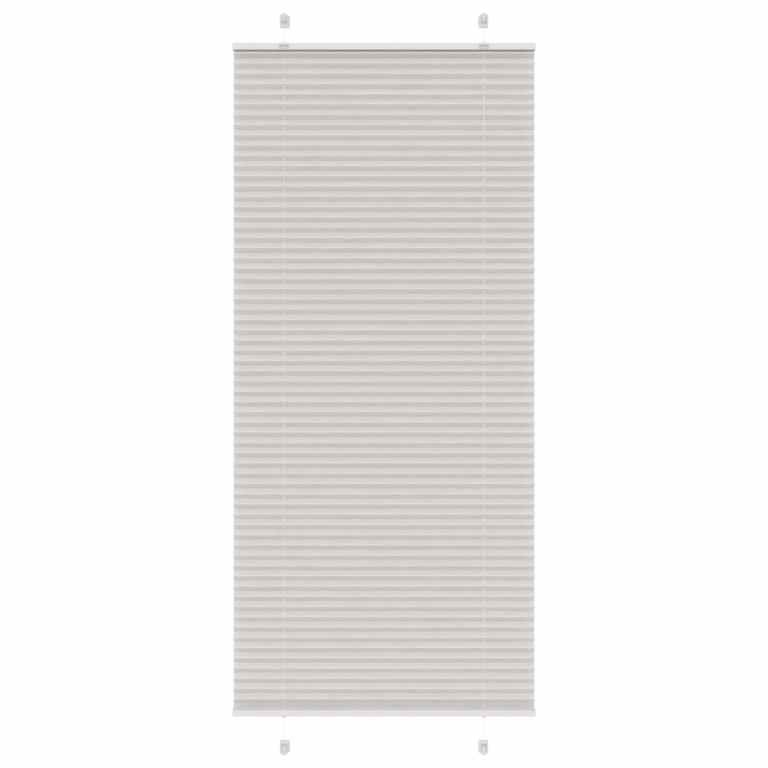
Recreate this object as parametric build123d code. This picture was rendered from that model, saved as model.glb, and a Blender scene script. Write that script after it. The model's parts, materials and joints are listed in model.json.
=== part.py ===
from build123d import *
import math
import os

# Pleated blind on two tensioned cords, drawn open in front of a window. Both rails slide.
# Millimetres. +Z is up, +X is right and the window frame is behind the blind, at +Y.
# The origin is the middle of the four fixing screws, on the face that they are screwed to.

# The blind as a whole
blind_width = 450.0  # over the end caps
blind_height = 1000.0  # over both rails
cord_spacing = 297.0  # between the two columns of cord
gap_above = 23.5  # from the head rail up to the shoes
gap_below = 36.5  # from the bottom rail down to the shoes
rail_standoff = 2.0  # from the window frame to the back of the rails

# Aluminium rails: a C section whose mouth faces the fabric
rail_depth = 22.0
rail_height = 10.0
rail_wall = 1.2
rail_corner = 0.5
lip_reach = 3.1  # each lip, from the rail's outside
rib_reach = 1.6  # each rib above the strip, from the inside of the wall
rib_thickness = 0.8

# Plastic strip that is slid into each rail and carries the glued end of the fabric
strip_thickness = 1.1
strip_play = 0.15
strip_hole_radius = 2.6

# End caps
cap_thickness = 1.2
cap_plug_length = 8.0
cap_plug_wall = 1.2
cap_play = 0.15
cap_edge = 0.4

# Fabric
fold_face = 20.0  # from one fold to the next
fold_pitch = 15.24  # the height of one pleat, before it is rounded to a whole number
fabric_thickness = 0.3
fabric_inset = 1.4  # from the end of the rail to the edge of the fabric
first_drop = 4.4  # from the head rail down to the first front fold
last_rise = 0.7  # from the bottom rail up to the last front fold
lip_clearance = 0.4  # between the fabric and a lip
glued_exit = 4.6  # from the cords back to where the first fold leaves the head rail's strip
fabric_hole_radius = 1.6

# Cords
cord_radius = 0.45
cord_offset = 0.8  # each cord, before or behind the middle of the rails
cord_bend = 2.3  # centre line, where a cord turns in a guide
cord_play = 0.05
knot_radius = 1.7
cord_tail = 2.6  # beyond the middle of the knot

# Cord guides inside the rails, each with its face in a window in one side of the rail
guide_width = 15.0
guide_play = 0.1
guide_channel = 3.6
guide_back_gap = 1.3  # from the cord to the end of the channel
guide_face_low = 1.4  # above the mouth side of the rail
guide_face_high = 7.2
guide_recess = 0.4
guide_slot_width = 12.6
guide_slot_height = 2.8
guide_slot_depth = 1.6
guide_slot_margin = 0.5  # below the top of the guide's face
guide_edge = 0.3

# Eyelets in the outer side of the rails
eyelet_radius = 6.0
eyelet_height = 2.2
eyelet_neck_radius = 3.4
eyelet_bore_radius = 1.5
eyelet_flare_radius = 2.4
eyelet_play = 0.1

# Tension shoes
shoe_width = 12.6
shoe_length = 20.0
shoe_front = 6.0  # from the cord to the front of the shoe
shoe_far_corner = 3.4
shoe_near_corner = 1.0
shoe_edge = 0.6
shoe_band = 4.9  # solid end that the knot pulls against
shoe_bore_radius = 1.4
pocket_width = 9.0
pocket_corner = 1.6
pocket_far_wall = 2.0
pocket_behind = 2.6  # how far the pocket goes behind the cord
tongue_width = 6.8
tongue_gap = 3.5  # from the band to the tip of the tongue
tongue_thickness = 2.6
tongue_proud = 0.6
tongue_overhang = 1.8

# Bases that the shoes slide on to
base_thickness = 2.2
base_margin = 1.0  # how far each end of the base is inside the shoe
base_wing = 2.3  # to the inner side of the shoe
tail_height = 2.6
tail_root_width = 7.0
tail_top_width = 8.6
tail_play = 0.15
shoe_play = 0.1  # between the shoe and its base plate
screw_level = 10.0  # above the cord end of the shoe
screw_hole_radius = 1.7

# Countersunk screws
screw_radius = 1.5
screw_neck_radius = 1.15
screw_head_radius = 2.7
screw_head_sink = 0.1
screw_seat_play = 0.05
screw_reach = 16.0  # behind the base
screw_tip = 3.0
screw_slot_width = 0.8
screw_slot_length = 3.2
screw_slot_depth = 1.0

# Places that follow from these
half_spacing = cord_spacing / 2
cord_plane = -(rail_standoff + rail_depth / 2)
shoe_level = (gap_above + blind_height + gap_below) / 2  # cord end of the upper shoes
head_top = shoe_level - gap_above
head_mouth = head_top - rail_height
bottom_mouth = head_top - blind_height + rail_height
rail_half_length = blind_width / 2 - cap_thickness
mouth_half = rail_depth / 2 - lip_reach
strip_level = rail_wall
rib_level = strip_level + strip_thickness + strip_play
chamber_floor = rib_level + rib_thickness
chamber_top = rail_height - rail_wall
chamber_half = rail_depth / 2 - rail_wall
run_level = (chamber_floor + chamber_top) / 2  # of the cords along the rail
knot_level = shoe_band + knot_radius + cord_play
base_face = -cord_plane - base_thickness  # from the cord to the base plate
above = (Align.CENTER, Align.CENTER, Align.MIN)


def block(x, y, z):
    """A box from pairs of low and high values."""
    size = (x[1] - x[0], y[1] - y[0], z[1] - z[0])
    return Pos(x[0], y[0], z[0]) * Box(*size, align=Align.MIN)


def prism(outline, x):
    """An outline of (y, z) points carried along X between two values."""
    face = make_face(Polyline(*[(x[0], y, z) for y, z in outline], close=True))
    return extrude(face, amount=x[1] - x[0], dir=(1, 0, 0))


def mirrored(half):
    """A half outline of (y, z) points and its mirror image in y."""
    return half + [(-y, z) for y, z in reversed(half)]


def save(shape, node):
    export_step(shape, f"parts/{node}.step")


def handed(shape, side):
    """A piece drawn for the right side, or its mirror image for the left side, which is -1."""
    return shape if side > 0 else mirror(shape, Plane.YZ)


# Rails and what is in them are drawn lying along X, mouth down at z = 0, about the cord plane.
# The head rail is set like that, and the bottom rail is the same rail turned over about X.


def set_in_head_rail(shape):
    return Pos(0, cord_plane, head_mouth) * shape


def set_in_bottom_rail(shape):
    return Pos(0, cord_plane, bottom_mouth) * Rot(180, 0, 0) * shape


def rail():
    """The extruded rail, with a round hole and a window at each guide."""
    outside = rail_depth / 2
    half = [
        (0, rail_height),
        (outside, rail_height),
        (outside, 0),
        (mouth_half, 0),
        (mouth_half, rail_wall),
        (chamber_half, rail_wall),
        (chamber_half, rib_level),
        (chamber_half - rib_reach, rib_level),
        (chamber_half - rib_reach, chamber_floor),
        (chamber_half, chamber_floor),
        (chamber_half, chamber_top),
    ]
    body = prism(mirrored(half[1:]), (-rail_half_length, rail_half_length))
    long_edges = body.edges().filter_by(Axis.X)
    outer = [e for e in long_edges if is_outer_corner(e.center())]
    body = fillet(outer, rail_corner)
    for side in (-1, 1):
        at = side * half_spacing
        opening = guide_width / 2 + guide_play
        body -= Pos(at, 0, chamber_top) * Cylinder(
            eyelet_neck_radius + eyelet_play, 2 * rail_wall, align=above
        )
        body -= block(
            (at - opening, at + opening),
            (-rail_depth, -chamber_half + rib_reach),
            (guide_face_low - guide_play, guide_face_high + guide_play),
        )
    return body


def is_outer_corner(point):
    outside = math.isclose(abs(point.Y), rail_depth / 2)
    return outside and (math.isclose(point.Z, 0) or math.isclose(point.Z, rail_height))


def strip():
    """The flat strip above the lips, with a hole for each column of cord."""
    half_width = chamber_half - strip_play
    body = block(
        (-rail_half_length, rail_half_length),
        (-half_width, half_width),
        (strip_level, strip_level + strip_thickness),
    )
    for side in (-1, 1):
        body -= Pos(side * half_spacing, 0, 0) * Cylinder(strip_hole_radius, rail_height)
    return body


def end_cap():
    """The right cap: a plate with the rail's outline, and a hollow plug that fits its chamber."""
    end = Pos(rail_half_length, 0, rail_height / 2) * Rot(0, 90, 0)
    outline = RectangleRounded(rail_height, rail_depth, rail_corner)
    body = end * extrude(outline, amount=cap_thickness)
    body = fillet(body.faces().sort_by(Axis.X)[-1].edges(), cap_edge)
    inner_end = rail_half_length - cap_plug_length
    half_width = chamber_half - cap_play
    low, high = chamber_floor + cap_play, chamber_top - cap_play
    plug = block((inner_end, rail_half_length), (-half_width, half_width), (low, high))
    plug -= block(
        (inner_end - cap_plug_wall, rail_half_length),
        (cap_plug_wall - half_width, half_width - cap_plug_wall),
        (low + cap_plug_wall, high - cap_plug_wall),
    )
    return body + plug


def cord_guide():
    """A fork with two half posts. One cord turns round the upper post, one round the lower."""
    ends = (half_spacing - guide_width / 2, half_spacing + guide_width / 2)
    low, high = chamber_floor + guide_play, chamber_top - guide_play
    body = block(ends, (-chamber_half, chamber_half - guide_play), (low, high))
    body -= block(
        (ends[0] - guide_play, half_spacing + guide_back_gap),
        (-guide_channel / 2, guide_channel / 2),
        (0, rail_height),
    )
    post_radius = cord_bend - cord_radius - cord_play
    for level in (run_level - cord_bend, run_level + cord_bend):
        post = Rot(90, 0, 0) * Cylinder(post_radius, guide_channel)
        post = Pos(half_spacing - cord_bend, 0, level) * post
        body += post & block(ends, (-chamber_half, chamber_half), (low, high))
    outside = rail_depth / 2
    face = block(
        ends,
        (guide_recess - outside, guide_play - chamber_half),
        (guide_face_low, guide_face_high),
    )
    body += fillet(face.faces().sort_by(Axis.Y)[0].edges(), guide_edge)
    slot_top = guide_face_high - guide_slot_margin
    body -= block(
        (half_spacing - guide_slot_width / 2, half_spacing + guide_slot_width / 2),
        (-rail_depth, guide_slot_depth - outside),
        (slot_top - guide_slot_height, slot_top),
    )
    return body


def eyelet():
    """A domed eyelet pressed into the outer wall, with a flared mouth."""
    dome_radius = (eyelet_radius**2 + eyelet_height**2) / (2 * eyelet_height)
    body = Pos(0, 0, rail_height + eyelet_height - dome_radius) * Sphere(dome_radius)
    body &= Pos(0, 0, rail_height) * Cylinder(eyelet_radius, eyelet_height, align=above)
    body += Pos(0, 0, chamber_top) * Cylinder(eyelet_neck_radius, rail_wall, align=above)
    body -= Pos(0, 0, chamber_top) * Cylinder(eyelet_bore_radius, rail_height, align=above)
    flare = eyelet_flare_radius - eyelet_bore_radius
    body -= Pos(0, 0, rail_height + eyelet_height - flare) * Cone(
        eyelet_bore_radius, eyelet_flare_radius, flare, align=above
    )
    return Pos(half_spacing, 0, 0) * body


def fabric_path():
    """The folds as (y, z) points about the cord plane, from the head rail down."""
    glued_half = mouth_half - lip_clearance
    glued_top = head_mouth + rail_wall - fabric_thickness / 2
    glued_bottom = bottom_mouth - rail_wall + fabric_thickness / 2
    folded_height = head_mouth - first_drop - bottom_mouth - last_rise
    pleats = round(folded_height / fold_pitch)
    step = folded_height / pleats / 2
    fold_half_depth = math.sqrt(fold_face**2 - step**2) / 2
    path = [
        (-glued_half, glued_top),
        (glued_exit - lip_clearance, glued_top),
        (glued_exit, glued_top - lip_clearance),
    ]
    for fold in range(2 * pleats + 1):
        front_or_back = -1 if fold % 2 == 0 else 1
        level = head_mouth - first_drop - fold * step
        path.append((front_or_back * fold_half_depth, level))
    path += [
        (-glued_half, bottom_mouth + fabric_thickness),
        (-glued_half, glued_bottom),
        (glued_half, glued_bottom),
    ]
    return path


def sheet_outline(path, thickness):
    """The closed outline of a sheet of even thickness that follows a path, mitred at its folds."""
    steps = [Vector(*b) - Vector(*a) for a, b in zip(path, path[1:])]
    normals = [Vector(-s.Y, s.X).normalized() for s in steps]
    normals = [normals[0], *normals, normals[-1]]
    left, right = [], []
    for point, before, after in zip(path, normals, normals[1:]):
        mitre = (before + after) * (thickness / 2 / (1 + before.dot(after)))
        left.append((point[0] + mitre.X, point[1] + mitre.Y))
        right.append((point[0] - mitre.X, point[1] - mitre.Y))
    return left + right[::-1]


def fabric():
    """One folded sheet, punched where the cords pass."""
    half_width = blind_width / 2 - fabric_inset
    outline = sheet_outline(fabric_path(), fabric_thickness)
    body = prism(outline, (-half_width, half_width))
    punch = Pos(0, 0, bottom_mouth) * Cylinder(
        fabric_hole_radius, 2 * blind_height, align=Align.CENTER
    )
    for side in (-1, 1):
        body -= Pos(side * half_spacing, 0, 0) * punch
    return Pos(0, cord_plane, 0) * body


def cord(side):
    """One cord from an upper shoe to the lower shoe on the same side.

    It crosses to the other column in the head rail and comes back in the bottom rail.
    """
    near, far = side * half_spacing, -side * half_spacing
    plane = cord_plane + side * cord_offset
    head_run = head_mouth + run_level
    bottom_run = bottom_mouth - run_level
    knot = shoe_level + knot_level
    end = knot + cord_tail
    route = FilletPolyline(
        (near, plane, end),
        (near, plane, head_run),
        (far, plane, head_run),
        (far, plane, bottom_run),
        (near, plane, bottom_run),
        (near, plane, -end),
        radius=cord_bend,
    )
    start = Plane(origin=route @ 0, z_dir=route % 0)
    body = sweep(start * Circle(cord_radius), path=route)
    for level in (knot, -knot):
        body += Pos(near, plane, level) * Sphere(knot_radius)
    return body


# Shoes, bases and screws are drawn for the upper right corner, with the cord along Z at
# x = y = 0, the cord end of the shoe at z = 0 and the middle of the blind towards -X.


def set_in_corner(shape, side, end):
    """side is -1 for left or 1 for right, and end is 1 for the top or -1 for the bottom."""
    shape = handed(shape, side)
    if end < 0:
        shape = mirror(shape, Plane.XY)
    return Pos(side * half_spacing, cord_plane, end * shoe_level) * shape


def dovetail(extra, length):
    """The tail on the base plate, or with some extra the groove for it in the shoe."""
    outline = Polyline(
        (-tail_root_width / 2 - extra, base_face),
        (-tail_top_width / 2 - extra, base_face - tail_height - extra),
        (tail_top_width / 2 + extra, base_face - tail_height - extra),
        (tail_root_width / 2 + extra, base_face),
        close=True,
    )
    return extrude(make_face(outline), amount=length, dir=(0, 0, 1))


def shoe():
    """One moulding: a housing with a pocket for the knot and a tongue over the pocket."""
    body = block(
        (-shoe_width / 2, shoe_width / 2),
        (-shoe_front, base_face - shoe_play),
        (0, shoe_length),
    )
    corners = body.edges().filter_by(Axis.Y).group_by(Axis.Z)
    body = fillet(corners[-1], shoe_far_corner)
    corners = body.edges().filter_by(Axis.Y).group_by(Axis.Z)
    body = fillet(corners[0], shoe_near_corner)
    body = fillet(body.faces().sort_by(Axis.Y)[0].edges(), shoe_edge)
    pocket_length = shoe_length - shoe_band - pocket_far_wall
    pocket_depth = shoe_front + pocket_behind
    facing = Plane(origin=(0, pocket_behind, 0), x_dir=(1, 0, 0), z_dir=(0, -1, 0))
    pocket = Pos(0, shoe_band + pocket_length / 2) * RectangleRounded(
        pocket_width, pocket_length, pocket_corner
    )
    body -= extrude(facing * pocket, amount=pocket_depth)
    tongue_low = shoe_band + tongue_gap
    tongue_length = shoe_length + tongue_overhang - tongue_low
    tongue = Pos(0, tongue_low + tongue_length / 2) * Rot(0, 0, 90) * SlotOverall(
        tongue_length, tongue_width
    )
    facing = facing.offset(pocket_depth + tongue_proud - tongue_thickness)
    tongue = extrude(facing * tongue, amount=tongue_thickness)
    body += fillet(tongue.faces().sort_by(Axis.Y)[0].edges(), shoe_edge)
    body -= Cylinder(shoe_bore_radius, 2 * shoe_band + pocket_corner)
    tail_length = shoe_length - base_margin - pocket_far_wall
    body -= dovetail(tail_play, tail_length + tail_play)
    return body


def shoe_base():
    """The plate that is screwed to the window frame, with a dovetail for the shoe."""
    body = block(
        (-shoe_width / 2 - base_wing, shoe_width / 2),
        (base_face, base_face + base_thickness),
        (base_margin, shoe_length - base_margin),
    )
    body = fillet(body.edges().filter_by(Axis.Y), shoe_near_corner)
    tail_length = shoe_length - 2 * base_margin - pocket_far_wall
    body += Pos(0, 0, base_margin) * dovetail(0, tail_length)
    along = Pos(0, base_face - tail_height, screw_level) * Rot(-90, 0, 0)
    through = tail_height + base_thickness
    body -= along * Cylinder(screw_hole_radius, through, align=above)
    sink_radius = screw_head_radius + screw_head_sink + screw_seat_play
    body -= along * Cone(
        sink_radius, screw_hole_radius, sink_radius - screw_hole_radius, align=above
    )
    return body


def screw():
    """A countersunk screw from the dovetail through the base into the window frame."""
    through = tail_height + base_thickness
    sunk = screw_head_sink
    cone = screw_head_radius - screw_neck_radius
    side = [
        (0, sunk),
        (screw_head_radius, sunk),
        (screw_neck_radius, sunk + cone),
        (screw_neck_radius, through),
        (screw_radius, through),
        (screw_radius, through + screw_reach - screw_tip),
        (0, through + screw_reach),
    ]
    half = make_face(Polyline(*[(r, 0, h) for r, h in side], close=True))
    body = revolve(half, axis=Axis.Z)
    for turn in (0, 90):
        body -= Rot(0, 0, turn) * Box(
            screw_slot_length, screw_slot_width, 2 * (screw_slot_depth + sunk)
        )
    return Pos(0, base_face - tail_height, screw_level) * Rot(-90, 0, 0) * body


os.makedirs("parts", exist_ok=True)

sides = (("left", -1), ("right", 1))

for name, set_in_rail in (("head", set_in_head_rail), ("bottom", set_in_bottom_rail)):
    save(set_in_rail(rail()), f"{name}_rail")
    save(set_in_rail(strip()), f"{name}_rail_strip")
    for hand, side in sides:
        save(set_in_rail(handed(end_cap(), side)), f"{name}_rail_cap_{hand}")
        save(set_in_rail(handed(cord_guide(), side)), f"{name}_cord_guide_{hand}")
        save(set_in_rail(handed(eyelet(), side)), f"{name}_eyelet_{hand}")

save(fabric(), "pleated_fabric")
for hand, side in sides:
    save(cord(side), f"cord_{hand}")

screws = []
for name, end in (("upper", 1), ("lower", -1)):
    for hand, side in sides:
        save(set_in_corner(shoe(), side, end), f"tension_shoe_{name}_{hand}")
        save(set_in_corner(shoe_base(), side, end), f"shoe_base_{name}_{hand}")
        screws.append(set_in_corner(screw(), side, end))
save(Compound(children=screws), "fixing_screws")
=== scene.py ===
import bpy
import cmath
import json
import math
import random

import numpy as np
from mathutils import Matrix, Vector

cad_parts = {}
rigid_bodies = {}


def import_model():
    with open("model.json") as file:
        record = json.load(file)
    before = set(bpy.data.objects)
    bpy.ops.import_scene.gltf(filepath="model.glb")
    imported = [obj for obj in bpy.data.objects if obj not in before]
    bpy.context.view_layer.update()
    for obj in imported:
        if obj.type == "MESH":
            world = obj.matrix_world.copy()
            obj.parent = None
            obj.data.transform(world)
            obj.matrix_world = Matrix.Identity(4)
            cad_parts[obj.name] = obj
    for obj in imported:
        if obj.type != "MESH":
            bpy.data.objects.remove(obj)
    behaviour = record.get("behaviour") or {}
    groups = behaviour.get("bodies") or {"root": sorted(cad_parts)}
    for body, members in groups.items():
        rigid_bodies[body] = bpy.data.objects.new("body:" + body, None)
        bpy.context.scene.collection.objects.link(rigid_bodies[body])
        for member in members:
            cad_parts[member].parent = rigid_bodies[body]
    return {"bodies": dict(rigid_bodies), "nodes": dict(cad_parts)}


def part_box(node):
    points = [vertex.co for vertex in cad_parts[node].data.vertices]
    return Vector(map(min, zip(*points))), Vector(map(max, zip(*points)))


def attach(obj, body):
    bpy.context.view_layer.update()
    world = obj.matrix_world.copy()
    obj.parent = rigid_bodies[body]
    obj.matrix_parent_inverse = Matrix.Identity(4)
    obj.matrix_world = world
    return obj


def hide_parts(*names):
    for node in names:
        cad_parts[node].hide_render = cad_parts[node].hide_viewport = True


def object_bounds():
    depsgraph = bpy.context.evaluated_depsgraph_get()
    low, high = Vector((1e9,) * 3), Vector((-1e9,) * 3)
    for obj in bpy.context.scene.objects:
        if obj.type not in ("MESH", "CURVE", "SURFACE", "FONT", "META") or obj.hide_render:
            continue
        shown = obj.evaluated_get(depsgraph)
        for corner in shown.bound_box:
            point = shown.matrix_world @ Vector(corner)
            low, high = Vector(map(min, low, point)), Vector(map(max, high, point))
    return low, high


# A pleated blind on two tensioned cords, in front of a window frame at y = 0. Metres.
# The rails, their fittings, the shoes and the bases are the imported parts. The cords, the
# fabric and the screws are made here, and stand for their plain solids.
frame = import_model()
cad_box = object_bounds()

# Camera. It stands level with the middle of the blind, seven metres in front of the cords,
# and sees a little more than the blind's own height.
rail_low, rail_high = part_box("head_rail")
cord_plane = (rail_low.y + rail_high.y) / 2
camera_distance = 7.07
view_width = 1.142

camera = bpy.data.objects.new("camera", bpy.data.cameras.new("camera"))
bpy.context.scene.collection.objects.link(camera)
camera.location = (0, cord_plane - camera_distance, (cad_box[0].z + cad_box[1].z) / 2)
camera.rotation_euler = (math.pi / 2, 0, 0)
camera.data.sensor_width = 36
camera.data.lens = camera.data.sensor_width * camera_distance / view_width
camera.data.clip_end = 100
bpy.context.scene.camera = camera
bpy.context.scene.view_settings.view_transform = "Standard"

# Studio. White all round, as in a light tent, with one broad soft light high up in front,
# far enough off to fall evenly on both rails, and a pale floor well below the blind.
tent_colour = "#FEFEFE"
tent_light = "#E1E1E1"
floor_colour = "#F4F3F1"
floor_size = 5.0
floor_drop = 0.25
key_place = (-0.8, -7.0, 2.75)  # the direction that it comes from
key_strength = 1.4
key_width = math.radians(20)


def linear(colour):
    """The linear RGBA that Blender works in, from an sRGB hex colour."""
    channels = [int(colour[at:at + 2], 16) / 255 for at in (1, 3, 5)]
    return [c / 12.92 if c < 0.04045 else ((c + 0.055) / 1.055) ** 2.4 for c in channels] + [1]


def add_node(tree, kind, settings=None, links=None):
    """Adds a node. Settings are its properties and the values of its inputs, and links are
    the outputs of other nodes that its inputs take."""
    node = tree.nodes.new(kind)
    for name, value in (settings or {}).items():
        if isinstance(name, str) and hasattr(node, name):
            setattr(node, name, value)
        else:
            node.inputs[name].default_value = value
    for name, source in (links or {}).items():
        tree.links.new(source, node.inputs[name])
    return node


def new_material(name):
    """An empty material and its node tree."""
    material = bpy.data.materials.new(name)
    material.use_nodes = True
    material.node_tree.nodes.clear()
    return material, material.node_tree


def add_mesh(name, points, faces, material, smooth_under=40):
    """A new piece from its points and faces. Edges that turn by fewer degrees are smooth."""
    mesh = bpy.data.meshes.new(name)
    mesh.from_pydata([tuple(p) for p in points], [], faces)
    mesh.shade_smooth()
    mesh.set_sharp_from_angle(angle=math.radians(smooth_under))
    mesh.materials.append(material)
    piece = bpy.data.objects.new(name, mesh)
    bpy.context.scene.collection.objects.link(piece)
    return piece


world = bpy.data.worlds.new("light_tent")
world.use_nodes = True
world.node_tree.nodes.clear()
seen = add_node(world.node_tree, "ShaderNodeBackground", {"Color": linear(tent_colour)})
cast = add_node(world.node_tree, "ShaderNodeBackground", {"Color": linear(tent_light)})
ray = add_node(world.node_tree, "ShaderNodeLightPath")
tent = add_node(
    world.node_tree,
    "ShaderNodeMixShader",
    links={0: ray.outputs["Is Camera Ray"], 1: cast.outputs[0], 2: seen.outputs[0]},
)
add_node(world.node_tree, "ShaderNodeOutputWorld", links={"Surface": tent.outputs[0]})
bpy.context.scene.world = world

key = bpy.data.objects.new("key_light", bpy.data.lights.new("key_light", "SUN"))
bpy.context.scene.collection.objects.link(key)
key.data.angle = key_width
key.data.energy = key_strength
key.location = key_place
key.rotation_euler = (-key.location).to_track_quat("-Z", "Y").to_euler()

matt_floor, tree = new_material("matt_white_floor")
shader = add_node(
    tree,
    "ShaderNodeBsdfPrincipled",
    {"Base Color": linear(floor_colour), "Roughness": 0.9},
)
add_node(tree, "ShaderNodeOutputMaterial", links={"Surface": shader.outputs[0]})
half = floor_size / 2
floor_level = cad_box[0].z - floor_drop
outline = [(x * half, y * half, floor_level) for x, y in ((-1, -1), (1, -1), (1, 1), (-1, 1))]
add_mesh("floor", outline, [(0, 1, 2, 3)], matt_floor)

# Cords. Two braided polyester cords, 0.9 mm thick and tight between an upper and a lower
# shoe. Each crosses to the other column inside the head rail and comes back inside the
# bottom rail, round the posts of the cord guides, and ends in a knot in each shoe.
mm = 0.001
cord_colour = "#F4F3F1"
# The darker tone is painted shade for the hollows between the strands.
cord_hollow_painted_shade = "#D9D7D4"
cord_radius = 0.45 * mm
cord_offset = 0.8 * mm  # from the middle of the rails, one cord before it and one behind
cord_bend = 2.3 * mm  # round a post
cord_run = 6.075 * mm  # from the mouth of a rail to the cords inside it
cord_sides = 12
bend_steps = 8
plait_length = 1.6 * mm
plait_lean = math.radians(50)
knot_level = 6.65 * mm  # above the cord end of a shoe
knot_steps = 36
knot_reach = 2.1  # of the knot's curve, each way from its middle
knot_fade = 0.5  # of that reach, where the curve comes back to the line of the cord
knot_width = 0.42 * mm
knot_height = 0.11 * mm
tail_length = 2.6 * mm


def tube(route, radius, sides):
    """Points and faces of a closed tube along a route."""
    route = np.array(route)
    along = np.gradient(route, axis=0)
    along /= np.linalg.norm(along, axis=1)[:, None]
    across = np.array([0.0, 1.0, 0.0])
    points, faces = [], []
    for centre, heading in zip(route, along):
        across = across - heading * (across @ heading)
        across /= np.linalg.norm(across)
        beside = np.cross(heading, across)
        for side in range(sides):
            turn = 2 * math.pi * side / sides
            points.append(centre + radius * (across * math.cos(turn) + beside * math.sin(turn)))
    for ring in range(len(route) - 1):
        this, that = ring * sides, (ring + 1) * sides
        for side in range(sides):
            after = (side + 1) % sides
            faces.append((this + side, this + after, that + after, that + side))
    faces.append(tuple(reversed(range(sides))))
    faces.append(tuple(range((len(route) - 1) * sides, len(route) * sides)))
    return points, faces


def bend(before, corner, after):
    """The arc of a cord round a post between two runs that meet at a right angle."""
    into = (corner - before) / np.linalg.norm(corner - before)
    out = (after - corner) / np.linalg.norm(after - corner)
    arc = []
    for step in range(bend_steps + 1):
        turn = math.pi / 2 * step / bend_steps
        arc.append(
            corner
            + into * cord_bend * (math.sin(turn) - 1)
            + out * cord_bend * (1 - math.cos(turn))
        )
    return arc


def knot(centre, end):
    """The route of an overhand knot, a curve of polynomials that passes through its own loop.
    It runs from the tail above the knot (end is 1) or below it (-1) back into the cord."""
    route = [centre + np.array([0, 0, end * tail_length])]
    for step in range(knot_steps + 1):
        turn = knot_reach - 2 * knot_reach * step / knot_steps
        pull = min(1, max(0, (knot_reach - abs(turn)) / knot_fade))
        route.append(
            centre
            + np.array([turn**3 - 3 * turn, turn**4 - 4 * turn**2 + 2, 0]) * knot_width * pull
            + np.array([0, 0, end * (turn**5 - 10 * turn)]) * knot_height
        )
    return route


def follow(piece, body, weights):
    """Lets some of a piece's points move with a body, by weight. A weight of 1 moves wholly."""
    group = piece.vertex_groups.new(name=f"with_{body}")
    for weight, points in weights:
        group.add(points, weight, "REPLACE")
    hook = piece.modifiers.new(group.name, "HOOK")
    hook.object = frame["bodies"][body]
    hook.vertex_group = group.name
    hook.falloff_type = "NONE"


braided_polyester, tree = new_material("braided_polyester_cord")
# Bright plaited strands, with painted shade in the hollows between them. At a scale of 1
# the bands of the texture lie pi / 10 apart.
place = add_node(tree, "ShaderNodeTexCoord")
strands = []
for lean in (-plait_lean, plait_lean):
    turned = add_node(
        tree,
        "ShaderNodeMapping",
        {"Rotation": (0, lean, 0)},
        {"Vector": place.outputs["Object"]},
    )
    strands.append(
        add_node(
            tree,
            "ShaderNodeTexWave",
            {"bands_direction": "Z", "Scale": math.pi / 10 / plait_length},
            {"Vector": turned.outputs[0]},
        )
    )
plait = add_node(
    tree,
    "ShaderNodeMath",
    {"operation": "MAXIMUM"},
    {0: strands[0].outputs["Fac"], 1: strands[1].outputs["Fac"]},
)
tint = add_node(
    tree,
    "ShaderNodeMix",
    {"data_type": "RGBA", 6: linear(cord_hollow_painted_shade), 7: linear(cord_colour)},
    {0: plait.outputs[0]},
)
relief = add_node(
    tree,
    "ShaderNodeBump",
    {"Strength": 0.4, "Distance": 0.1 * mm},
    {"Height": plait.outputs[0]},
)
shader = add_node(
    tree,
    "ShaderNodeBsdfPrincipled",
    {"Roughness": 0.7, "IOR": 1.57},
    {"Base Color": tint.outputs[2], "Normal": relief.outputs[0]},
)
add_node(tree, "ShaderNodeOutputMaterial", links={"Surface": shader.outputs[0]})

shoe_low, shoe_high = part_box("tension_shoe_upper_right")
column = (shoe_low.x + shoe_high.x) / 2
head_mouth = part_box("head_rail")[0].z
bottom_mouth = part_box("bottom_rail")[1].z
knot_place = shoe_low.z + knot_level
for hand, side in (("left", -1), ("right", 1)):
    near, far = side * column, -side * column
    plane = cord_plane + side * cord_offset
    top = np.array([near, plane, knot_place])
    foot = np.array([near, plane, -knot_place])
    turns = [
        top,
        np.array([near, plane, head_mouth + cord_run]),
        np.array([far, plane, head_mouth + cord_run]),
        np.array([far, plane, bottom_mouth - cord_run]),
        np.array([near, plane, bottom_mouth - cord_run]),
        foot,
    ]
    route = knot(top, 1)
    for before, corner, after in zip(turns, turns[1:], turns[2:]):
        route += bend(before, corner, after)
    route += reversed(knot(foot, -1))
    points, faces = tube(route, cord_radius, cord_sides)
    cord = add_mesh(f"cord_{hand}", points, faces, braided_polyester)
    in_head = [n for n, p in enumerate(points) if head_mouth < p[2] < head_mouth + 2 * cord_run]
    in_bottom = [
        n for n, p in enumerate(points) if bottom_mouth - 2 * cord_run < p[2] < bottom_mouth
    ]
    follow(cord, "head_rail_set", [(1, in_head)])
    follow(cord, "bottom_rail_set", [(1, in_bottom)])
    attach(cord, "window_side")
    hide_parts(f"cord_{hand}")

# Fabric. One sheet of crepe polyester, 0.3 mm thick, heat-set into sharp folds 20 mm apart
# and punched where the cords pass. Its ends are glued to the strips inside the rails, and
# it lets through about as much light as it throws back, so that its faces look even.
fabric_colour = "#F7F5F4"
fabric_slub = "#F3F1F0"
fabric_glow = 0.54  # the share of light that comes through
thread_spacing = 1.2 * mm  # really 0.25, too fine to show
slub_length = 60 * mm
slub_height = 2.5 * mm
fabric_thickness = 0.3 * mm
fold_face = 20 * mm
fold_pitch = 15.24 * mm
fold_radius = 0.25 * mm
fold_steps = 4
crease_radius = 0.2 * mm
first_drop = 4.4 * mm  # from the mouth of the head rail to the first fold
last_rise = 0.7 * mm  # from the mouth of the bottom rail to the last fold
exit_slant = 0.4 * mm  # where the cloth turns down out of the head rail
glued_half = 7.5 * mm  # from the cords to the cut ends and to the crease in the bottom rail
glued_exit = 4.6 * mm  # from the cords back to where the first fold leaves the strip
glued_depth = 1.05 * mm  # behind the mouth of a rail
hole_radius = 1.6 * mm
hole_points = 16
patch = 3.6 * mm  # from the middle of a hole to the nearest points along a face
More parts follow.
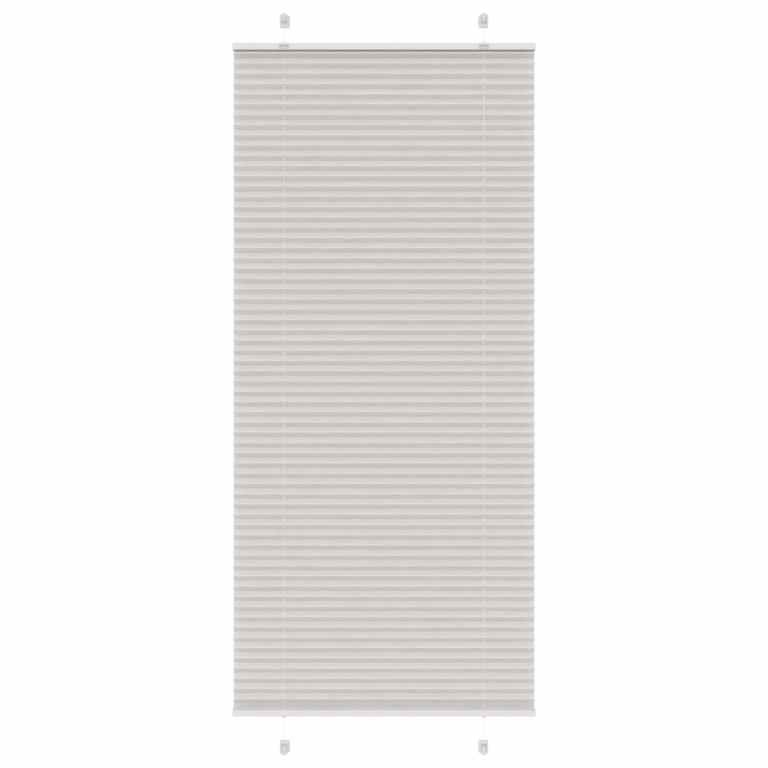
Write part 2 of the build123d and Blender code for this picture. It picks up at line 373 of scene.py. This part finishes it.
dent_depth = 0.25 * mm
dent_width = 11 * mm
dent_lean = 2  # how much more a dent may tip than bulge
drift_depth = 0.12 * mm
drift_wave = 4.5  # radians from the middle to an edge
drift_shift = 4.8  # radians by which a fold's wave lies to one side, at most
glued_corners = 3  # of the cloth's path, at each end
beside_cord = [4 * mm, 8 * mm, 13 * mm, 20 * mm, 30 * mm]
lines_between = 3  # from the middle to those beside a cord
edge_strip = 24 * mm  # from an edge to the nearest line
rng = random.Random(4)


def corners_of_cloth():
    """The folds as points, their y from the cords and z as a complex number, with a radius."""
    height = head_mouth - first_drop - bottom_mouth - last_rise
    pleats = round(height / fold_pitch)
    rise = height / pleats / 2
    opening = math.asin(rise / fold_face)
    depth = fold_face * math.cos(opening) / 2 + fold_radius * (1 / math.sin(opening) - 1)
    glued_top, glued_bottom = head_mouth + glued_depth, bottom_mouth - glued_depth
    made = [
        (complex(-glued_half, glued_top), 0),
        (complex(glued_exit - exit_slant, glued_top), crease_radius),
        (complex(glued_exit, glued_top - exit_slant), crease_radius),
    ]
    for fold in range(2 * pleats + 1):
        front = -1 if fold % 2 == 0 else 1
        level = head_mouth - first_drop - fold * rise
        made.append((complex(front * depth, level), fold_radius))
    made += [
        (complex(-glued_half, bottom_mouth + fabric_thickness), crease_radius),
        (complex(-glued_half, glued_bottom), crease_radius),
        (complex(glued_half, glued_bottom), 0),
    ]
    return made


def stations_of_cloth(corners):
    """Places along the cloth: point, heading, the corner before, how far it is to the next
    one from 0 to 1, and the distance from the hole in its face or None."""
    headings = []
    for (this, _), (that, _) in zip(corners, corners[1:]):
        headings.append((that - this) / abs(that - this))
    stations = [(corners[0][0], headings[0], 0, 0, None)]
    for number in range(len(corners) - 1):
        point, radius = corners[number]
        heading = headings[number]
        if number:
            before = headings[number - 1]
            turn = cmath.phase(heading / before)
            start = point - before * radius * math.tan(abs(turn) / 2)
            centre = start + before * 1j * math.copysign(radius, turn)
            for step in range(fold_steps + 1):
                swing = cmath.exp(1j * turn * step / fold_steps)
                spot = centre + (start - centre) * swing
                stations.append((spot, before * swing, number, 0, None))
        length = abs(corners[number + 1][0] - point)
        if length > 3 * patch:  # a whole face, which has holes
            middle = -point.real / heading.real
            for along in (-patch, 0, patch):
                share = (middle + along) / length
                stations.append((point + heading * (middle + along), heading, number, share, along))
    stations.append((corners[-1][0], headings[-1], len(corners) - 1, 0, None))
    return stations


corners = corners_of_cloth()
stations = stations_of_cloth(corners)
half_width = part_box("pleated_fabric")[1].x
# Lines of points run down the cloth, closest together beside the cords.
lines = {0, column, half_width - edge_strip, half_width}
for number in range(1, lines_between + 1):
    lines.add(number * (column - beside_cord[-1]) / (lines_between + 1))
for away in beside_cord:
    lines |= {column - away, column + away}
lines = sorted(lines | {-x for x in lines})
# A fold's drift has a level, a wave and a shift of that wave. A face's pulls are a bulge and
# a lean beside the left cord and then beside the right one.
drifts = [[rng.uniform(-1, 1) * drift_depth for _ in range(3)] for _ in corners]
pulls = [[rng.uniform(-1, 1) * dent_depth for _ in range(4)] for _ in corners]


def strays(corner):
    """Whether a corner may leave its even place. The glued ends and the last fold can't."""
    return glued_corners <= corner < len(corners) - 1 - glued_corners


def drift(x, corner):
    """How far a fold strays from its even place at x."""
    if not strays(corner):
        return 0
    still, wave, shift = drifts[corner]
    phase = drift_wave * x / half_width + drift_shift * shift / drift_depth
    return still + wave * math.sin(phase)


def dent(x, corner, share):
    """How far the face after a corner bulges at x, where the cords draw it in. It is most in
    the middle of the face and nothing at its folds."""
    if not strays(corner):
        return 0
    bulge = 0
    for end, (pull, lean) in ((-1, pulls[corner][:2]), (1, pulls[corner][2:])):
        away = (x - end * column) / dent_width
        bulge += (pull + lean * away * dent_lean) * math.exp(-away * away)
    return bulge * 4 * share * (1 - share)


def cloth_point(x, station, face):
    """A point on one face of the cloth: 1 is the left of its path and -1 the right."""
    spot, heading, corner, share, _ = station
    shift = face * fabric_thickness / 2 + dent(x, corner, share)
    spot += heading * 1j * shift
    spot += 1j * (drift(x, corner) * (1 - share) + drift(x, corner + 1) * share)
    return (x, cord_plane + spot.real, spot.imag)


# The cloth is a grid of stations by lines on each face. The squares round a hole are left
# out, and a ring of narrower faces takes their place.
points, faces = [], []
rows = [[], []]
for row, face in enumerate((1, -1)):
    for station in stations:
        rows[row].append(range(len(points), len(points) + len(lines)))
        points += [cloth_point(x, station, face) for x in lines]
weights = [(station[0].imag, [*a, *b]) for station, a, b in zip(stations, *rows)]


def both_faces(*corners_by_row):
    """Adds a face to each side of the cloth from (station, line) places."""
    faces.append(tuple(rows[0][s][k] for s, k in corners_by_row))
    faces.append(tuple(rows[1][s][k] for s, k in reversed(corners_by_row)))


hole_lines = {k for k, x in enumerate(lines) if math.isclose(abs(x), column)}
hole_stations = {s for s, station in enumerate(stations) if station[4] == 0}
for s in range(len(stations) - 1):
    for k in range(len(lines) - 1):
        if {s, s + 1} & hole_stations and {k, k + 1} & hole_lines:
            continue
        both_faces((s, k), (s, k + 1), (s + 1, k + 1), (s + 1, k))
# The grid points round a hole, as steps of station and line, and the turn to the first one.
around = [(-1, -1), (-1, 0), (-1, 1), (0, 1), (1, 1), (1, 0), (1, -1), (0, -1)]
first_turn = -3 * math.pi / 4
for s in sorted(hole_stations):
    spot, heading, corner, share, _ = stations[s]
    length = abs(corners[corner + 1][0] - corners[corner][0])
    for k in sorted(hole_lines):
        rims = []
        for face in (1, -1):
            start = len(points)
            for number in range(hole_points):
                turn = first_turn - 2 * math.pi * number / hole_points
                x = lines[k] + hole_radius * math.sin(turn)
                along = hole_radius * math.cos(turn)
                rim_place = (spot + heading * along, heading, corner, share + along / length, along)
                points.append(cloth_point(x, rim_place, face))
            rims.append(range(start, start + hole_points))
            weights.append((spot.imag, list(rims[-1])))
        for number, here in enumerate(around):
            there = around[(number + 1) % len(around)]
            for row in (0, 1):
                outer = rows[row][s + here[0]][k + here[1]]
                next_outer = rows[row][s + there[0]][k + there[1]]
                rim = [rims[row][(2 * number + n) % hole_points] for n in range(3)]
                for face in (
                    (outer, rim[1], rim[0]),
                    (outer, next_outer, rim[1]),
                    (next_outer, rim[2], rim[1]),
                ):
                    faces.append(face if row == 0 else face[::-1])
        for number in range(hole_points):
            after = (number + 1) % hole_points
            faces.append((rims[0][number], rims[0][after], rims[1][after], rims[1][number]))
last = len(lines) - 1
for s in range(len(stations) - 1):
    faces.append((rows[0][s][0], rows[0][s + 1][0], rows[1][s + 1][0], rows[1][s][0]))
    faces.append((rows[0][s + 1][last], rows[0][s][last], rows[1][s][last], rows[1][s + 1][last]))
end = len(stations) - 1
for k in range(last):
    faces.append((rows[0][0][k + 1], rows[0][0][k], rows[1][0][k], rows[1][0][k + 1]))
    faces.append((rows[0][end][k], rows[0][end][k + 1], rows[1][end][k + 1], rows[1][end][k]))

crepe_polyester, tree = new_material("crepe_polyester_fabric")
# Matt and even, with faint thicker yarns along the folds and a fine dry grain.
place = add_node(tree, "ShaderNodeTexCoord")
stretched = add_node(
    tree,
    "ShaderNodeMapping",
    {"Scale": (1 / slub_length, 1 / slub_height, 1 / slub_height)},
    {"Vector": place.outputs["Object"]},
)
slubs = add_node(
    tree,
    "ShaderNodeTexNoise",
    {"Scale": 1.0, "Detail": 3.0},
    {"Vector": stretched.outputs[0]},
)
tint = add_node(
    tree,
    "ShaderNodeMix",
    {"data_type": "RGBA", 6: linear(fabric_slub), 7: linear(fabric_colour)},
    {0: slubs.outputs["Fac"]},
)
grain = add_node(
    tree,
    "ShaderNodeTexNoise",
    {"Scale": 1 / thread_spacing, "Detail": 2.0},
    {"Vector": place.outputs["Object"]},
)
relief = add_node(
    tree,
    "ShaderNodeBump",
    {"Strength": 0.35, "Distance": 0.1 * mm},
    {"Height": grain.outputs["Fac"]},
)
shader = add_node(
    tree,
    "ShaderNodeBsdfPrincipled",
    {"Roughness": 0.85, "IOR": 1.57, "Sheen Weight": 0.05},
    {"Base Color": tint.outputs[2], "Normal": relief.outputs[0]},
)
glow = add_node(
    tree,
    "ShaderNodeBsdfTranslucent",
    links={"Color": tint.outputs[2], "Normal": relief.outputs[0]},
)
mixed = add_node(
    tree,
    "ShaderNodeMixShader",
    {0: fabric_glow},
    {1: shader.outputs[0], 2: glow.outputs[0]},
)
add_node(tree, "ShaderNodeOutputMaterial", links={"Surface": mixed.outputs[0]})

fabric = add_mesh("pleated_fabric_sheet", points, faces, crepe_polyester)
# Each point between the first and the last front fold follows the bottom rail by its share
# of the way down, so that the folds close evenly.
first_fold = head_mouth - first_drop
last_fold = bottom_mouth + last_rise
spread = []
for level, members in weights:
    share = min(1, max(0, (first_fold - level) / (first_fold - last_fold)))
    if share > 0:
        spread.append((share, members))
follow(fabric, "bottom_rail_set", spread)
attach(fabric, "head_rail_set")
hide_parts("pleated_fabric")

# Rails. Two lengths of the same extruded aluminium C section, 22 mm deep and 10 mm high,
# powder coated off-white after the windows and round holes for the guides were punched.
rail_colour = "#D1CFD0"
rail_shade = "#CBC9CA"
coat_peel = 2.5 * mm  # really 0.6, too fine to show
coat_cloud = 35 * mm
coat_stretch = (4, 1, 1)


def finish(node, material):
    """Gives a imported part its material."""
    piece = frame["nodes"][node]
    piece.data.materials.clear()
    piece.data.materials.append(material)


def mottled(tree, colour, shade, size, stretch=(1, 1, 1)):
    """A colour that drifts between two tones, in clouds of a given size."""
    place = add_node(tree, "ShaderNodeTexCoord")
    sized = add_node(
        tree,
        "ShaderNodeMapping",
        {"Scale": [1 / size / s for s in stretch]},
        {"Vector": place.outputs["Object"]},
    )
    clouds = add_node(
        tree,
        "ShaderNodeTexNoise",
        {"Scale": 1.0, "Detail": 4.0},
        {"Vector": sized.outputs[0]},
    )
    return add_node(
        tree,
        "ShaderNodeMix",
        {"data_type": "RGBA", 6: linear(shade), 7: linear(colour)},
        {0: clouds.outputs["Fac"]},
    )


def skin(tree, size, strength, depth, roughness):
    """Bump, and roughness between a lowest and a highest value, from one fine noise."""
    place = add_node(tree, "ShaderNodeTexCoord")
    texture = add_node(
        tree,
        "ShaderNodeTexNoise",
        {"Scale": 1 / size, "Detail": 2.0},
        {"Vector": place.outputs["Object"]},
    )
    relief = add_node(
        tree,
        "ShaderNodeBump",
        {"Strength": strength, "Distance": depth},
        {"Height": texture.outputs["Fac"]},
    )
    rough = add_node(
        tree,
        "ShaderNodeMapRange",
        {"To Min": roughness[0], "To Max": roughness[1]},
        {"Value": texture.outputs["Fac"]},
    )
    return relief, rough


powder_coat, tree = new_material("off_white_powder_coated_aluminium")
# Satin, with the faint orange peel of a baked powder coat. The metal doesn't show.
tint = mottled(tree, rail_colour, rail_shade, coat_cloud, coat_stretch)
relief, rough = skin(tree, coat_peel, strength=0.15, depth=0.1 * mm, roughness=(0.38, 0.5))
shader = add_node(
    tree,
    "ShaderNodeBsdfPrincipled",
    {"IOR": 1.5},
    {"Base Color": tint.outputs[2], "Roughness": rough.outputs[0], "Normal": relief.outputs[0]},
)
add_node(tree, "ShaderNodeOutputMaterial", links={"Surface": shader.outputs[0]})
for rail in ("head_rail", "bottom_rail"):
    finish(rail, powder_coat)

# Strips. A flat length of milky PVC slides into each rail behind the lips. The end of the
# fabric is glued to it, and the cords pass through two holes in it.
strip_colour = "#DCDEDD"
strip_shade = "#D2D5D4"
die_line = 0.8 * mm
die_line_stretch = (200, 1, 1)

milky_pvc, tree = new_material("milky_extruded_pvc")
# Half clear and smooth, with long faint lines from the extrusion die.
tint = mottled(tree, strip_colour, strip_shade, die_line, die_line_stretch)
relief, rough = skin(tree, die_line, strength=0.1, depth=0.05 * mm, roughness=(0.28, 0.36))
shader = add_node(
    tree,
    "ShaderNodeBsdfPrincipled",
    {"IOR": 1.53, "Transmission Weight": 0.35},
    {"Base Color": tint.outputs[2], "Roughness": rough.outputs[0], "Normal": relief.outputs[0]},
)
add_node(tree, "ShaderNodeOutputMaterial", links={"Surface": shader.outputs[0]})
for rail in ("head_rail", "bottom_rail"):
    finish(f"{rail}_strip", milky_pvc)

# End caps. Moulded ABS plates with the outline of the rail, each pushed into its end on a
# hollow plug, in the colour of the powder coat.
cap_colour = "#D2D0D0"
cap_shade = "#CCCACA"
cap_cloud = 12 * mm
spark_grain = 1.5 * mm  # really 0.2, too fine to show

moulded_abs, tree = new_material("off_white_moulded_abs")
# A shade duller than the rail, with the fine grain of a spark-eroded mould.
tint = mottled(tree, cap_colour, cap_shade, cap_cloud)
relief, rough = skin(tree, spark_grain, strength=0.25, depth=0.1 * mm, roughness=(0.5, 0.6))
shader = add_node(
    tree,
    "ShaderNodeBsdfPrincipled",
    {"IOR": 1.54},
    {"Base Color": tint.outputs[2], "Roughness": rough.outputs[0], "Normal": relief.outputs[0]},
)
add_node(tree, "ShaderNodeOutputMaterial", links={"Surface": shader.outputs[0]})
for rail in ("head_rail", "bottom_rail"):
    for hand in ("left", "right"):
        finish(f"{rail}_cap_{hand}", moulded_abs)

# Cord guides and eyelets. Moulded in slippery acetal, natural white, because the cords rub
# on them. The guides snap into the windows and the eyelets into the round holes.
# Greyer than the eyelets of the same acetal, as painted shade in the recessed rail windows.
guide_colour_painted_shade = "#C2C1C1"
guide_mottle_painted_shade = "#BCBBBB"
eyelet_colour = "#E6E5E5"
eyelet_shade = "#E0DFDF"
flow_mark = 6 * mm
polish_mark = 1.5 * mm  # really 0.3, too fine to show

for name, colour, shade, parts in (
    ("natural_white_acetal_painted_shade", guide_colour_painted_shade, guide_mottle_painted_shade, "cord_guide"),
    ("natural_white_moulded_acetal", eyelet_colour, eyelet_shade, "eyelet"),
):
    acetal, tree = new_material(name)
    # Waxy and dense, with soft marks where the melt flowed.
    tint = mottled(tree, colour, shade, flow_mark)
    relief, rough = skin(tree, polish_mark, strength=0.1, depth=0.05 * mm, roughness=(0.32, 0.4))
    shader = add_node(
        tree,
        "ShaderNodeBsdfPrincipled",
        {"IOR": 1.48},
        {"Base Color": tint.outputs[2], "Roughness": rough.outputs[0], "Normal": relief.outputs[0]},
    )
    add_node(tree, "ShaderNodeOutputMaterial", links={"Surface": shader.outputs[0]})
    for rail in ("head", "bottom"):
        for hand in ("left", "right"):
            finish(f"{rail}_{parts}_{hand}", acetal)

# Tension shoes and their bases. Each shoe is one moulding of milky nylon that holds a knot
# in its pocket. It slides on to the dovetail of a base of the same nylon, moulded thinner.
shoe_colour = "#F6F4F5"
shoe_shade = "#F1EFF0"
shoe_glow = 0.72  # the share of light that comes through
base_colour = "#FCFCFC"
base_shade = "#F9F9F9"
base_glow = 0.75

for name, colour, shade, glow_share, parts in (
    ("milky_moulded_nylon", shoe_colour, shoe_shade, shoe_glow, "tension_shoe"),
    ("thin_milky_nylon", base_colour, base_shade, base_glow, "shoe_base"),
):
    nylon, tree = new_material(name)
    # Smooth, and it lets light into its walls, so that its hollows stay pale.
    tint = mottled(tree, colour, shade, flow_mark)
    relief, rough = skin(tree, polish_mark, strength=0.1, depth=0.05 * mm, roughness=(0.34, 0.42))
    shader = add_node(
        tree,
        "ShaderNodeBsdfPrincipled",
        {"IOR": 1.53},
        {"Base Color": tint.outputs[2], "Roughness": rough.outputs[0], "Normal": relief.outputs[0]},
    )
    glow = add_node(
        tree,
        "ShaderNodeBsdfTranslucent",
        links={"Color": tint.outputs[2], "Normal": relief.outputs[0]},
    )
    mixed = add_node(
        tree,
        "ShaderNodeMixShader",
        {0: glow_share},
        {1: shader.outputs[0], 2: glow.outputs[0]},
    )
    add_node(tree, "ShaderNodeOutputMaterial", links={"Surface": mixed.outputs[0]})
    for level in ("upper", "lower"):
        for hand in ("left", "right"):
            finish(f"{parts}_{level}_{hand}", nylon)

# Screws. Countersunk 3 mm wood screws of zinc-plated steel with a rolled thread and a cross
# recess, one through each base into the window frame.
zinc_colour = "#C9C9C6"
zinc_shade = "#B5B6B6"
spangle = 1.2 * mm
screw_radius = 1.5 * mm
core_radius = 1.0 * mm
neck_radius = 1.15 * mm
head_radius = 2.7 * mm
thread_pitch = 1.35 * mm
thread_share = 0.28  # of the pitch, on each side of the crest
thread_length = 16 * mm
tip_length = 3 * mm
tip_share = 0.02  # of the radius, left at the end of the tip
screw_sides = 24
rings_per_pitch = 12
recess_length = 3.2 * mm
recess_width = 0.8 * mm
recess_depth = 1.0 * mm

zinc, tree = new_material("zinc_plated_steel")
# Bright grey metal, slightly cloudy.
tint = mottled(tree, zinc_colour, zinc_shade, spangle)
relief, rough = skin(tree, spangle, strength=0.1, depth=0.02 * mm, roughness=(0.25, 0.4))
shader = add_node(
    tree,
    "ShaderNodeBsdfPrincipled",
    {"Metallic": 1.0},
    {"Base Color": tint.outputs[2], "Roughness": rough.outputs[0], "Normal": relief.outputs[0]},
)
add_node(tree, "ShaderNodeOutputMaterial", links={"Surface": shader.outputs[0]})

screw_low, screw_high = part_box("fixing_screws")
thread_start = screw_high.y - thread_length


def shank_radius(reach, turn):
    """The radius of the screw at a distance from the end of its neck, at a turn from 0 to 1."""
    if reach <= 0:
        return neck_radius
    fade = min(1, reach / thread_pitch)
    taper = max(tip_share, min(1, (thread_length - reach) / tip_length))
    phase = (reach / thread_pitch - turn) % 1
    crest = max(0, 1 - min(phase, 1 - phase) / thread_share)
    return (core_radius + (screw_radius - core_radius) * crest * fade) * taper


def screw(x, z):
    """Points and faces of a screw that points to the back. Its head is a cone of 90 degrees."""
    cone = head_radius - neck_radius
    rings = [(screw_low.y, lambda turn: head_radius), (screw_low.y + cone, lambda turn: neck_radius)]
    count = round(thread_length / thread_pitch * rings_per_pitch)
    for step in range(count + 1):
        reach = thread_length * step / count
        rings.append((thread_start + reach, lambda turn, reach=reach: shank_radius(reach, turn)))
    points, faces = [], []
    for y, radius_at in rings:
        for side in range(screw_sides):
            turn = side / screw_sides
            angle = 2 * math.pi * turn
            radius = radius_at(turn)
            points.append((x + radius * math.cos(angle), y, z + radius * math.sin(angle)))
    for ring in range(len(rings) - 1):
        this, that = ring * screw_sides, (ring + 1) * screw_sides
        for side in range(screw_sides):
            after = (side + 1) % screw_sides
            faces.append((this + side, that + side, that + after, this + after))
    faces.append(tuple(range(screw_sides)))
    faces.append(tuple(reversed(range(len(points) - screw_sides, len(points)))))
    return points, faces


def recess(x, z):
    """Points and faces of the cross that is pressed into the head."""
    long, short = recess_length / 2, recess_width / 2
    outline = []
    for turn in (1, 1j, -1, -1j):
        outline += [turn * complex(long, -short), turn * complex(long, short)]
        outline.append(turn * complex(short, short))
    points = []
    for y in (screw_low.y - recess_depth, screw_low.y + recess_depth):
        points += [(x + p.real, y, z + p.imag) for p in outline]
    count = len(outline)
    faces = [tuple(range(count)), tuple(reversed(range(count, 2 * count)))]
    for side in range(count):
        after = (side + 1) % count
        faces.append((side, side + count, after + count, after))
    return points, faces


for level, end in (("upper", 1), ("lower", -1)):
    for hand, side in (("left", -1), ("right", 1)):
        spot = (side * column, end * (screw_high.z - head_radius))
        piece = add_mesh(f"fixing_screw_{level}_{hand}", *screw(*spot), zinc, smooth_under=30)
        cutter = add_mesh("cross_recess", *recess(*spot), zinc)
        cut = piece.modifiers.new("recess", "BOOLEAN")
        cut.object = cutter
        cut.solver = "EXACT"
        view = bpy.context.evaluated_depsgraph_get()
        done = bpy.data.meshes.new_from_object(piece.evaluated_get(view))
        piece.modifiers.clear()
        piece.data = done
        bpy.data.objects.remove(cutter)
        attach(piece, "window_side")
        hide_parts("fixing_screws")
